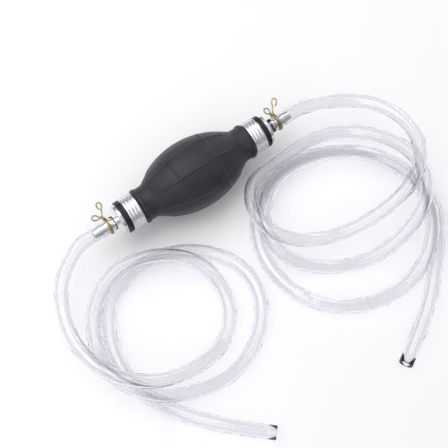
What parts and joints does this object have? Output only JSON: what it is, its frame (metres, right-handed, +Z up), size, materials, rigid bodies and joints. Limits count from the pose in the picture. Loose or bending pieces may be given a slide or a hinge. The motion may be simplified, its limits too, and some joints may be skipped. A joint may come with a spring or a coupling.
{
  "type": "hand primer siphon pump with hoses",
  "caption": "Hand siphon pump for water or fuel: rubber squeeze bulb with ball valves, crimped metal barb connectors, spring-wire clamps and clear hoses in loose loops.",
  "frame": {"origin": "on the surface that the pump lies on, under the middle of the squeeze bulb", "axes": "+X along the bulb's axis towards the inlet, -Y to the side that the hoses lie on, +Z up"},
  "size_m": [0.2935, 0.2234, 0.05],
  "materials": {
    "rubber": "moulded matt with a soft sheen",
    "seal": "smooth, slightly glossy",
    "ferrule_metal": "bright, ridged and knurled",
    "connector_metal": "bright turned",
    "sleeve_metal": "turned",
    "ball_steel": "polished",
    "spring_steel": "drawn wire",
    "clamp_wire": "zinc-plated wire, yellow passivated, satin",
    "clear_hose": "clear flexible tube, glossy"
  },
  "bodies": {
    "pump": {"rubber_bulb": "rubber", "inlet_ferrule": "ferrule_metal", "inlet_insert_sleeve": "sleeve_metal", "inlet_o_ring": "seal", "inlet_barb_connector": "connector_metal", "inlet_valve_seat": "seal", "inlet_valve_spring": "spring_steel", "inlet_valve_retainer": "sleeve_metal", "inlet_hose": "clear_hose", "outlet_ferrule": "ferrule_metal", "outlet_insert_sleeve": "sleeve_metal", "outlet_o_ring": "seal", "outlet_barb_connector": "connector_metal", "outlet_valve_seat": "seal", "outlet_valve_spring": "spring_steel", "outlet_valve_retainer": "sleeve_metal", "outlet_hose": "clear_hose"},
    "inlet_ball": {"inlet_valve_ball": "ball_steel"},
    "inlet_clamp": {"inlet_hose_clamp": "clamp_wire"},
    "outlet_ball": {"outlet_valve_ball": "ball_steel"},
    "outlet_clamp": {"outlet_hose_clamp": "clamp_wire"}
  },
  "joints": [
    {"name": "inlet_valve", "type": "slide", "parent": "pump", "child": "inlet_ball", "axis": [-1, 0, 0], "range_m": [0, 0.0022], "stiffness_N_per_m": 60, "springref_m": -0.0005, "deforming": ["inlet_valve_spring"]},
    {"name": "inlet_clamp_slide", "type": "slide", "parent": "pump", "child": "inlet_clamp", "axis": [1, 0, 0], "range_m": [-0.003, 0.006]},
    {"name": "outlet_valve", "type": "slide", "parent": "pump", "child": "outlet_ball", "axis": [-1, 0, 0], "range_m": [0, 0.0022], "stiffness_N_per_m": 60, "springref_m": -0.0005, "deforming": ["outlet_valve_spring"]},
    {"name": "outlet_clamp_slide", "type": "slide", "parent": "pump", "child": "outlet_clamp", "axis": [-1, 0, 0], "range_m": [-0.003, 0.006]}
  ]
}
